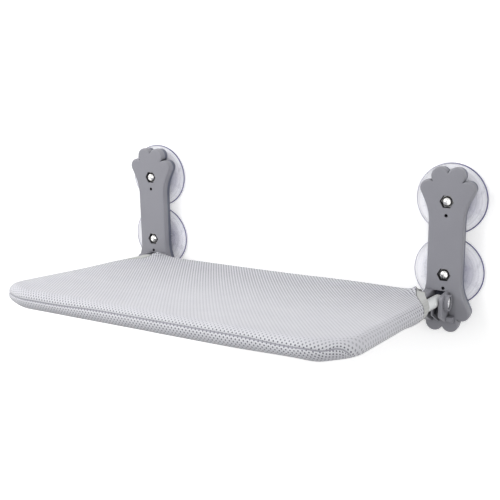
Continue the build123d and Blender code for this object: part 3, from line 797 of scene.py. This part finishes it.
def air_mesh(name, light, shade, hole_shade, beside_seam_yarn, thread_and_groove_shade):
    """White-grey spacer knit with staggered holes and a sewn seam."""
    material, tree, output = new_material(name)
    flat = add(tree, "ShaderNodeUVMap", uv_map="laid_flat")
    row = add(tree, "ShaderNodeMapping", {
        "Vector": flat.outputs["UV"], "Scale": (1 / HOLE_GAP, 1 / ROW_PAIR, 1)})
    turned = add(tree, "ShaderNodeMapping", {
        "Vector": row.outputs["Vector"], "Rotation": (0, 0, math.radians(45)),
        "Scale": (math.sqrt(2), math.sqrt(2), 1)})
    cells = add(tree, "ShaderNodeTexVoronoi", {
        "Vector": turned.outputs["Vector"], "Scale": 1.0, "Randomness": 0.0}, voronoi_dimensions="2D")
    place = add(tree, "ShaderNodeSeparateXYZ", {"Vector": flat.outputs["UV"]})
    open_edge = add(tree, "ShaderNodeMapRange", {
        "Value": place.outputs["Y"], "From Min": -0.29, "From Max": 0.0, "To Min": 0.31, "To Max": 0.42})
    sewn = add(tree, "ShaderNodeAttribute", attribute_name="from_seam")
    # Painted light in the holes: lighter on the flat top, most of all near the front and on the right
    lit_in_front = add(tree, "ShaderNodeMapRange", {
        "Value": place.outputs["Y"], "From Min": -0.19, "From Max": -0.04, "To Min": 0.6, "To Max": 0.0})
    lit_on_right = add(tree, "ShaderNodeMapRange", {
        "Value": place.outputs["X"], "From Min": -0.14, "From Max": -0.02, "To Min": 0.5, "To Max": 1.0})
    flat_top = add(tree, "ShaderNodeMath", {
        0: lit_in_front.outputs["Result"], 1: lit_on_right.outputs["Result"]}, operation="MULTIPLY")
    above = add(tree, "ShaderNodeMapRange", {
        "Value": sewn.outputs["Fac"], "From Min": 2.5 * MM, "From Max": 6.5 * MM,
        "To Max": flat_top.outputs[0]})
    below = add(tree, "ShaderNodeMapRange", {
        "Value": sewn.outputs["Fac"], "From Min": -11 * MM, "From Max": -5 * MM,
        "To Min": 0.5, "To Max": 0.0})
    painted_hole_light = add(tree, "ShaderNodeMath", {
        0: above.outputs["Result"], 1: below.outputs["Result"]}, operation="MAXIMUM")
    rim = add(tree, "ShaderNodeMapRange", {
        "Value": cells.outputs["Distance"], "From Min": 0.20, "From Max": open_edge.outputs["Result"],
        "To Min": painted_hole_light.outputs[0]}, interpolation_type="SMOOTHSTEP")
    # Along the diagonal the texture runs through fewer radians, by the root of two
    loops = add(tree, "ShaderNodeTexWave", {
        "Vector": flat.outputs["UV"], "Scale": wave_scale(1.953) * math.sqrt(2), "Distortion": 2.0,
        "Detail": 1.0, "Detail Scale": 2.0}, bands_direction="DIAGONAL")
    uneven = add(tree, "ShaderNodeTexNoise", {
        "Vector": flat.outputs["UV"], "Scale": 1 / (30 * MM), "Detail": 3.0})
    yarn = add(tree, "ShaderNodeMix", {
        "Factor": uneven.outputs["Fac"], "A": linear(shade), "B": linear(light)}, data_type="RGBA")
    off = add(tree, "ShaderNodeMath", {0: sewn.outputs["Fac"]}, operation="ABSOLUTE")
    # Beside the seam the yarn is lighter
    beside_seam_mask = add(tree, "ShaderNodeMapRange", {
        "Value": off.outputs[0], "From Min": 3 * MM, "From Max": 7 * MM, "To Min": 0.3, "To Max": 0.0})
    yarn = add(tree, "ShaderNodeMix", {
        "Factor": beside_seam_mask.outputs["Result"], "A": yarn.outputs[2], "B": linear(beside_seam_yarn)}, data_type="RGBA")
    deep = add(tree, "ShaderNodeMix", {
        "Factor": rim.outputs["Result"], "A": linear(hole_shade), "B": yarn.outputs[2]}, data_type="RGBA")
    # Painted shade: the seam's thread and groove are painted a darker grey
    groove = add(tree, "ShaderNodeMapRange", {
        "Value": off.outputs[0], "From Min": 0.35 * MM, "From Max": 1.1 * MM})
    deep = add(tree, "ShaderNodeMix", {
        "Factor": groove.outputs["Result"], "A": linear(thread_and_groove_shade), "B": deep.outputs[2]}, data_type="RGBA")
    relief = add(tree, "ShaderNodeMath", {
        0: loops.outputs["Fac"], 1: 0.18, 2: rim.outputs["Result"]}, operation="MULTIPLY_ADD")
    bump = add(tree, "ShaderNodeBump", {
        "Height": relief.outputs[0], "Strength": 0.7, "Distance": 0.5 * MM})
    shader = add(tree, "ShaderNodeBsdfPrincipled", {
        "Base Color": deep.outputs[2], "Roughness": 0.85, "Normal": bump.outputs["Normal"],
        "Sheen Weight": 0.25, "Sheen Roughness": 0.5, "Specular IOR Level": 0.25})
    tree.links.new(shader.outputs["BSDF"], output.inputs["Surface"])
    return material


def woven_tape(name, colour, shade, stitch, gap_mm):
    """Plain woven binding tape with a dark row of stitches in the ditch beside it."""
    material, tree, output = new_material(name)
    flat = add(tree, "ShaderNodeUVMap", uv_map="laid_flat")
    warp, weft = (
        add(tree, "ShaderNodeTexWave", {
            "Vector": flat.outputs["UV"], "Scale": wave_scale(gap_mm), "Distortion": 0.6},
            bands_direction=along)
        for along in ("X", "Y"))
    cross = add(tree, "ShaderNodeMath", {
        0: warp.outputs["Fac"], 1: weft.outputs["Fac"]}, operation="MULTIPLY")
    tone = add(tree, "ShaderNodeMix", {
        "Factor": cross.outputs[0], "A": linear(shade), "B": linear(colour)}, data_type="RGBA")
    sewn = add(tree, "ShaderNodeAttribute", attribute_name="from_seam")
    ditch = add(tree, "ShaderNodeMapRange", {
        "Value": sewn.outputs["Fac"], "From Min": 0.7 * MM, "From Max": 1.7 * MM})
    tone = add(tree, "ShaderNodeMix", {
        "Factor": ditch.outputs["Result"], "A": linear(stitch), "B": tone.outputs[2]}, data_type="RGBA")
    bump = add(tree, "ShaderNodeBump", {
        "Height": cross.outputs[0], "Strength": 0.5, "Distance": 0.15 * MM})
    shader = add(tree, "ShaderNodeBsdfPrincipled", {
        "Base Color": tone.outputs[2], "Roughness": 0.8, "Normal": bump.outputs["Normal"],
        "Sheen Weight": 0.2, "Sheen Roughness": 0.5, "Specular IOR Level": 0.25})
    tree.links.new(shader.outputs["BSDF"], output.inputs["Surface"])
    return material


knit = air_mesh(
    "knitted_polyester_air_mesh", light="#D6D6DB", shade="#CBCBD2", hole_shade="#666672", beside_seam_yarn="#F4F4F7",
    thread_and_groove_shade="#A3A3AC")
tape_cloth = woven_tape(
    "woven_polyester_tape", colour="#C9CAC8", shade="#BBBCBA", stitch="#6A6C6E", gap_mm=1.776)
print("cloths:", knit.name, tape_cloth.name)

# %% Give the cloth its thickness and hang it on the hinge
def finish_cloth(piece, thickness_mm, material, stands_for):
    """Thicken a sheet inwards, smooth it, dress it and place it on the bed."""
    bpy.ops.object.select_all(action="DESELECT")
    piece.select_set(True)
    bpy.context.view_layer.objects.active = piece
    wall = piece.modifiers.new("cloth", "SOLIDIFY")
    wall.thickness = thickness_mm * MM
    wall.offset = -1
    bpy.ops.object.modifier_apply(modifier=wall.name)
    bpy.ops.object.shade_smooth_by_angle(angle=math.radians(40))
    piece.data.transform(BED)
    dress(material, piece)
    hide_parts(*stands_for)
    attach(piece, "bed")
    piece.select_set(False)


finish_cloth(top_panel, 1.5, knit, ["cover_top"])
finish_cloth(under_panel, 1.5, knit, ["cover_underside"])
for side, tape in tapes.items():
    finish_cloth(tape, 1.3, tape_cloth, [f"cover_binding_{side}"])
print("cover hung on the hinge")

# %% [markdown]
# ## Wall, light and camera
# The photograph has a white wall right behind the cups, with faint shadows on it. The backdrop is two
# sheets, a wall and a floor. They are clear from behind, so that a view from the back sees the object.
# Cameras and mirrors see them and the room as white, while the light that the object gets from them
# stays soft and grey. Two large soft lamps stand in front of the object, the stronger one on the left.

# %% Backdrop
def seen_directly(tree):
    """One for rays from the camera, a mirror or a clear body, zero for the light that falls on things."""
    path = add(tree, "ShaderNodeLightPath")
    seen = path.outputs["Is Camera Ray"]
    for kind in ("Is Glossy Ray", "Is Transmission Ray"):
        seen = add(tree, "ShaderNodeMath", {0: seen, 1: path.outputs[kind]}, operation="MAXIMUM").outputs[0]
    return seen


def backdrop(name, paint, low, high):
    """Matt paint, clear from behind. The camera sees it brighter: by low under the bed, by high above it,
    and by more far to the sides, where the lamps don't reach."""
    material, tree, output = new_material(name)
    seen = seen_directly(tree)
    facing = add(tree, "ShaderNodeNewGeometry")
    place = add(tree, "ShaderNodeTexCoord")
    parts = add(tree, "ShaderNodeSeparateXYZ", {"Vector": place.outputs["Object"]})
    shown = add(tree, "ShaderNodeMapRange", {
        "Value": parts.outputs["Z"], "From Min": -160 * MM, "From Max": -70 * MM,
        "To Min": low, "To Max": high})
    aside = add(tree, "ShaderNodeMath", {0: parts.outputs["X"]}, operation="ABSOLUTE")
    far = add(tree, "ShaderNodeMapRange", {
        "Value": aside.outputs[0], "From Min": 0.7, "From Max": 1.8, "To Max": 0.8})
    shown = add(tree, "ShaderNodeMath", {
        0: shown.outputs["Result"], 1: far.outputs["Result"]}, operation="ADD")
    glow = add(tree, "ShaderNodeMath", {0: seen, 1: shown.outputs[0]}, operation="MULTIPLY")
    matte = add(tree, "ShaderNodeBsdfDiffuse", {"Color": linear(paint)})
    light_up = add(tree, "ShaderNodeEmission", {"Color": (1, 1, 1, 1), "Strength": glow.outputs[0]})
    lit = add(tree, "ShaderNodeAddShader", {0: matte.outputs[0], 1: light_up.outputs[0]})
    clear = add(tree, "ShaderNodeBsdfTransparent", {"Color": (1, 1, 1, 1)})
    sided = add(tree, "ShaderNodeMixShader", {
        0: facing.outputs["Backfacing"], 1: lit.outputs[0], 2: clear.outputs[0]})
    tree.links.new(sided.outputs[0], output.inputs["Surface"])
    return material


WALL_Y = 1.2 * MM
WALL_HEIGHT = 3.0
FLOOR_SIZE = 7.0
FLOOR_Z = -0.9
bpy.ops.object.select_all(action="DESELECT")
bpy.ops.mesh.primitive_plane_add(
    size=1, location=(0, WALL_Y, FLOOR_Z + WALL_HEIGHT / 2), rotation=(math.pi / 2, 0, 0))
wall = bpy.context.object
wall.name = "white_wall"
wall.scale = (FLOOR_SIZE, WALL_HEIGHT, 1)
bpy.ops.object.transform_apply(location=True, rotation=True, scale=True)
dress(backdrop("matte_white_wall", "#F6F6F6", low=0.48, high=0.32), wall)
bpy.ops.mesh.primitive_plane_add(size=FLOOR_SIZE, location=(0, WALL_Y - FLOOR_SIZE / 2, FLOOR_Z))
floor = bpy.context.object
floor.name = "white_floor"
bpy.ops.object.transform_apply(location=True, rotation=True, scale=True)
dress(backdrop("matte_grey_floor", "#A8A8A8", low=0.8, high=0.8), floor)
print("wall faces", tuple(round(c, 2) for c in wall.data.polygons[0].normal))

# %% World and lamps
LAMPS_LOOK_AT = Vector((0, -0.12, -0.02))
ROOM_LIGHT = 0.55
ROOM_SEEN = 1.0
world = bpy.data.worlds.new("soft_white_room")
bpy.context.scene.world = world
world.use_nodes = True
tree = world.node_tree
tree.nodes.clear()
sky = tree.nodes.new("ShaderNodeOutputWorld")
room = add(tree, "ShaderNodeBackground", {"Color": (1, 1, 1, 1), "Strength": ROOM_LIGHT})
shown = add(tree, "ShaderNodeBackground", {"Color": (1, 1, 1, 1), "Strength": ROOM_SEEN})
choice = add(tree, "ShaderNodeMixShader", {
    0: seen_directly(tree), 1: room.outputs[0], 2: shown.outputs[0]})
tree.links.new(choice.outputs[0], sky.inputs["Surface"])


def soft_lamp(name, place, size, watts):
    """A square soft box that looks at the middle of the hammock."""
    data = bpy.data.lights.new(name, "AREA")
    data.shape = "SQUARE"
    data.size = size
    data.energy = watts
    lamp = bpy.data.objects.new(name, data)
    bpy.context.scene.collection.objects.link(lamp)
    way = LAMPS_LOOK_AT - Vector(place)
    lamp.matrix_world = Matrix.Translation(place) @ way.to_track_quat("-Z", "Y").to_matrix().to_4x4()


soft_lamp("key_soft_box", (-1.05, -1.1, 0.80), size=1.1, watts=16.8)
soft_lamp("fill_soft_box", (1.5, -1.7, 0.5), size=1.4, watts=13.5)
print("lamps placed")

# %% Camera
# Its place in metres, its turn to the left, its look down and its lean, solved from the photograph
PLACE = (0.5012, -0.9968, 0.2422)
yaw, pitch, roll = math.radians(29.66), math.radians(14.31), math.radians(-0.93)
lens = bpy.data.cameras.new("photo_camera")
lens.lens = 61.2
lens.sensor_width = 36.0
camera = bpy.data.objects.new("photo_camera", lens)
bpy.context.scene.collection.objects.link(camera)
camera.matrix_world = (
    Matrix.Translation(PLACE)
    @ Matrix.Rotation(yaw, 4, "Z")
    @ Matrix.Rotation(math.pi / 2 - pitch, 4, "X")
    @ Matrix.Rotation(roll, 4, "Z"))
bpy.context.scene.camera = camera
bpy.context.scene.view_settings.view_transform = "Standard"
print("camera at", [round(c, 3) for c in camera.location])
